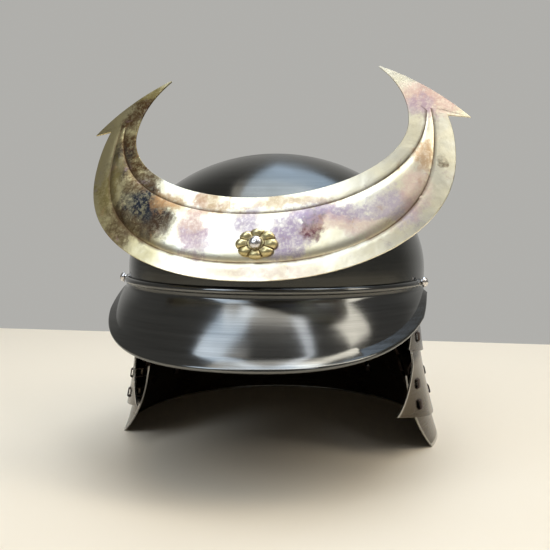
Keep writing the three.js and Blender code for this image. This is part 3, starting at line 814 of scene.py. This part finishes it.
def make_lame(name, material):
    lame = LAMES[name]
    columns = 180
    beaded = name == "lame_bottom"
    hem = GUARD["hem_radius"]
    tall = lame["top_z"] - lame["bottom_z"]
    shares = list(np.linspace(0, 1 - 2 * hem / tall, BODY_ROWS))
    shares += [1 - hem * (1 - math.sin(rad(a))) / tall for a in range(-75, 91, 15)]
    rows = len(shares) - 1
    crowding = 0.25
    corner_angle = front_angle(lame, lame["corner_z"])
    lift = lame["corner_z"] - lame["bottom_z"]
    fronts, backs, wear_and_highlight = [], [], []
    for j in range(columns + 1):
        run = j / columns - crowding * math.sin(2 * PI * j / columns) / (2 * PI)
        front, back = [], []
        for i, s in enumerate(shares):
            edge_z = lame["top_z"] + (lame["corner_z"] - lame["top_z"]) * s
            edge = front_angle(lame, edge_z)
            angle = edge + (2 * PI - 2 * edge) * run
            from_front = min(angle, 2 * PI - angle)
            rise = min(1, max(0, (PI / 2 - from_front) / (PI / 2 - corner_angle)))
            bottom_z = lame["bottom_z"] + lift * rise ** GUARD["corner_power"]
            z = lame["top_z"] + (bottom_z - lame["top_z"]) * s
            front.append(lame_point(lame, angle, z))
            bead = 0
            if beaded and i >= BODY_ROWS:
                bead = hem * math.sqrt(max(0, 1 - (1 - (1 - s) * tall / hem) ** 2))
            back.append(lame_point(lame, angle, z, GUARD["wall"] + bead))
        fronts.append(front)
        backs.append(back)
        # Painted highlight: the front ends and the lower edge rows (the bead on the bottom lame) are marked
        # for the pale paint that stands in for the light these edges catch.
        at_end = j in (0, columns)
        first_highlit_row = BODY_ROWS if beaded else rows
        column = [1.0 if at_end or i >= first_highlit_row else 0.0 for i in range(rows + 1)]
        wear_and_highlight.append(column + column[::-1])
    points, faces = ribbon(fronts, backs)
    piece = add_object("iron_" + name, points, faces, AXIS)
    cut(piece, slots_for(name))
    mark(piece, "edge", points, np.ravel(wear_and_highlight))
    round_edges(piece, 0.3)
    finish_piece(piece, name, material)


# ------------------------------------------------------------------ laces


def wall_point(layer, angle, z, depth):
    if layer != "bowl":
        return lame_point(LAMES[layer], angle, z, depth)
    x = (BOWL["half_width"] - depth) * math.sin(angle)
    return Vector((x, -(BOWL["half_length"] - depth) * math.cos(angle), z))


def column_frame(index):
    """A column's upright plane: angle, origin on the middle lame, outward and sideways direction."""
    first = LACE["first_angle"]
    angle = first + (2 * PI - 2 * first) * index / (LACE["columns"] - 1)
    level = Vector((1, 1, 0))
    middle_z, reach_angle = 60, 0.02
    origin = lame_point(LAMES["lame_middle"], angle, middle_z) * level
    ahead = lame_point(LAMES["lame_middle"], angle + reach_angle, middle_z) * level
    behind = lame_point(LAMES["lame_middle"], angle - reach_angle, middle_z) * level
    side = (ahead - behind).normalized()
    return dict(angle=angle, origin=origin, side=side, out=Vector((side.y, -side.x, 0)))


SEARCH = dict(half_angle=0.4, steps=36)


def reach(column, layer, z, depth, aside=0.0):
    """How far out along a column's plane a wall lies."""
    low, high = column["angle"] - SEARCH["half_angle"], column["angle"] + SEARCH["half_angle"]
    for _ in range(SEARCH["steps"]):
        middle = (low + high) / 2
        if (wall_point(layer, middle, z, depth) - column["origin"]).dot(column["side"]) < aside:
            low = middle
        else:
            high = middle
    return (wall_point(layer, (low + high) / 2, z, depth) - column["origin"]).dot(column["out"])


def column_matrix(column):
    """From a column's plane (outward, height, back along the sideways direction) into the bowl's frame."""
    matrix = Matrix.Identity(4)
    for i, axis in enumerate((column["out"], Vector((0, 0, 1)), -column["side"])):
        matrix.col[i] = (*axis, 0)
    matrix.translation = column["origin"]
    return matrix


def lace_path(column):
    half = LACE["stitch"] / 2
    clear = LACE["clearance"] + LACE["thickness"] / 2
    asides = (-LACE["width"] / 2, 0, LACE["width"] / 2)

    def inside_at(z):
        near = [name for name, lame in LAMES.items() if z < lame["top_z"] + LACE["follow"]]
        return min(reach(column, name, z, GUARD["wall"], aside) for name in near for aside in asides) - clear

    def outside_at(layer, z):
        return max(reach(column, layer, z, 0, aside) for aside in asides) + clear

    path = []

    def lie_inside(start, end):
        steps = math.ceil((start - end) / LACE["follow"])
        for i in range(steps + 1):
            z = start + (end - start) * i / steps
            path.append((inside_at(z), z))

    start = STITCHES[0]["z"] + half + LACE["end_run"]
    for stitch in STITCHES:
        z = stitch["z"]
        lie_inside(start, z + half)
        path.append((outside_at(stitch["outer"], z + half), z + half))
        path.append((outside_at(stitch["outer"], z - half), z - half))
        start = z - half
    lie_inside(start, start - LACE["end_run"])
    return path


def rounded(path, radius):
    """A path with its corners rounded off."""
    points = [np.array(p, float) for p in path]
    result = [points[0]]
    for before, corner, after in zip(points, points[1:], points[2:]):
        back, on = before - corner, after - corner
        reach_back = min(radius, np.linalg.norm(back) / 2)
        reach_on = min(radius, np.linalg.norm(on) / 2)
        start = corner + back / np.linalg.norm(back) * reach_back
        end = corner + on / np.linalg.norm(on) * reach_on
        for t in np.linspace(0, 1, 6):
            result.append((1 - t) ** 2 * start + 2 * t * (1 - t) * corner + t * t * end)
    result.append(points[-1])
    return result


def make_lace(index, column, material):
    """A flat thong with soft edges along its path."""
    path = rounded(lace_path(column), 1.1)
    half_thick, half_wide = LACE["thickness"] / 2, LACE["width"] / 2
    edge = [(half_wide, 0), (half_wide - 0.1, half_thick * 0.6), (half_wide - 0.35, half_thick)]
    section = edge + [(0, half_thick * 1.05)] + [(-w, t) for w, t in edge[::-1]]
    section += [(w, -t) for w, t in section[::-1][1:-1]]
    loops = []
    for i, point in enumerate(path):
        ahead = path[min(i + 1, len(path) - 1)] - path[max(i - 1, 0)]
        ahead = ahead / np.linalg.norm(ahead)
        normal = np.array([-ahead[1], ahead[0]])
        loops.append([(*(point + normal * t), w) for w, t in section])
    count = len(section)
    faces = [tuple(range(count)), tuple(range((len(loops) - 1) * count, len(loops) * count))]
    for i in range(len(loops) - 1):
        for k in range(count):
            m = (k + 1) % count
            faces.append((i * count + k, i * count + m, (i + 1) * count + m, (i + 1) * count + k))
    points = np.array(loops).reshape(-1, 3)
    name = f"lace_{index + 1}"
    piece = add_object("thong_" + name, points, faces, AXIS @ metres(column_matrix(column)), sharp=50)
    finish_piece(piece, name, material)


SLOT_DEPTH = 8
COLUMNS = [column_frame(index) for index in range(LACE["columns"])]


def slots_for(layer):
    """Two slots to a stitch where a layer lies outermost, one tall slot where it is the inner one."""
    slots = []
    wall = BOWL["wall"] if layer == "bowl" else GUARD["wall"]
    narrow = LACE["thickness"] + 2 * LACE["slot_play"]

    def add_slot(column, z, height):
        middle = reach(column, layer, z, wall / 2)
        place = column_matrix(column) @ Matrix.Translation((middle, z, 0))
        slots.append(box_cutter((SLOT_DEPTH, height, LACE["width"] + 2 * LACE["slot_play"]), place))

    for column in COLUMNS:
        for stitch in STITCHES:
            if stitch["inner"] == layer:
                add_slot(column, stitch["z"], LACE["stitch"] + narrow)
            if stitch["outer"] == layer:
                add_slot(column, stitch["z"] - LACE["stitch"] / 2, narrow)
                add_slot(column, stitch["z"] + LACE["stitch"] / 2, narrow)
    return slots


# ------------------------------------------------------------------ floor, lights


def make_floor():
    n = Nodes("floor_pale")
    n.shader.inputs["Base Color"].default_value = (0.92, 0.80, 0.63, 1)
    n.shader.inputs["Roughness"].default_value = 0.45
    mesh = bpy.data.meshes.new("floor")
    left, right, near, far = -2.5, 2.5, -1.6, 0.445
    corners = [(left, near, 0), (right, near, 0), (right, far, 0), (left, far, 0)]
    mesh.from_pydata(corners, [], [(0, 1, 2, 3)])
    floor = bpy.data.objects.new("floor", mesh)
    mesh.materials.append(n.material)
    bpy.context.scene.collection.objects.link(floor)


def make_world():
    """A plain grey room, darker in front of the helmet than behind it."""
    world = bpy.data.worlds.new("studio")
    world.use_nodes = True
    tree = world.node_tree
    background = tree.nodes["Background"]
    background.inputs["Color"].default_value = (0.435, 0.430, 0.410, 1)
    direction = tree.nodes.new("ShaderNodeTexCoord").outputs["Generated"]
    parts = tree.nodes.new("ShaderNodeSeparateXYZ")
    tree.links.new(direction, parts.inputs[0])
    ahead = tree.nodes.new("ShaderNodeMapRange")
    ahead.interpolation_type = "SMOOTHSTEP"
    for socket, value in (("From Min", 0.45), ("From Max", 0.86), ("To Min", 0.42), ("To Max", 1.0)):
        ahead.inputs[socket].default_value = value
    tree.links.new(parts.outputs[1], ahead.inputs["Value"])
    tree.links.new(ahead.outputs[0], background.inputs["Strength"])
    bpy.context.scene.world = world


LIGHTS_AIM = Vector((0, 0, 0.12))


def softbox(name, azimuth, elevation, distance, size, radiance, color):
    """A flat light in a direction from the helmet: azimuth from its front towards +X, in degrees."""
    a, e = rad(azimuth), rad(elevation)
    away = Vector((math.sin(a) * math.cos(e), -math.cos(a) * math.cos(e), math.sin(e)))
    light = bpy.data.lights.new(name, "AREA")
    light.shape = "RECTANGLE"
    light.size, light.size_y = size
    light.energy = radiance * PI * size[0] * size[1]
    light.color = color
    lamp = bpy.data.objects.new(name, light)
    bpy.context.scene.collection.objects.link(lamp)
    lamp.location = LIGHTS_AIM + away * distance
    lamp.rotation_euler = away.to_track_quat("Z", "Y").to_euler()


# Softboxes: azimuth, elevation, distance, width and height in metres, radiance and colour.
LIGHTS = (
    ("window_left", -38, 46, 1.6, (0.50, 1.2), 3.4, (0.66, 0.81, 1.0)),
    ("window_left_high", -34, 75, 1.6, (0.20, 0.45), 3.2, (0.70, 0.83, 1.0)),
    ("window_middle", 42, 56, 1.6, (0.15, 1.5), 3.6, (0.84, 0.90, 1.0)),
    ("window_right", 80, 54, 1.6, (0.44, 1.5), 4.4, (1.0, 0.95, 0.84)),
    ("crest_light", -30, 42, 2.2, (1.2, 0.7), 1.25, (1.0, 0.97, 0.92)),
    ("crest_light_high", -2, 74, 2.2, (0.9, 0.4), 0.7, (1.0, 0.97, 0.92)),
    ("ceiling", 162, 74, 1.5, (1.0, 1.2), 3.0, (0.58, 0.76, 1.0)),
    ("overhead", 0, 88, 2.5, (2.0, 1.8), 1.6, (1.0, 0.95, 0.86)),
)


def make_lights():
    for light in LIGHTS:
        softbox(*light)


# ------------------------------------------------------------------ the helmet

make_camera()
bowl_iron = brushed_iron("bowl_iron", (0.095, 0.095, 0.088), 0.14, 0.3, (0.075, 0.074, 0.064))
visor_iron = brushed_iron("visor_iron", (0.125, 0.125, 0.12), 0.13, 0.4, (0.095, 0.095, 0.09), grain=1.1)
# The lames' marked edges get the painted highlight.
lame_iron = brushed_iron("lame_iron", (0.085, 0.070, 0.052), 0.22, 0.3, (0.06, 0.045, 0.03), painted_edge_highlight=0.8)
silver = bright_rivet()
thong = dark_thong()
make_bowl(bowl_iron)
make_visor(visor_iron)
make_visor_rivets(silver)
make_crest(tarnished_brass("crest_brass", STAINS))
make_rosette(tarnished_brass("rosette_brass", pale_tone=(0.78, 0.68, 0.40), deep_tone=(0.52, 0.43, 0.20)))
make_crest_rivet(silver)
for lame_name in LAMES:
    make_lame(lame_name, lame_iron)
for lace_index, lace_column in enumerate(COLUMNS):
    make_lace(lace_index, lace_column, thong)
make_floor()
make_world()
make_lights()
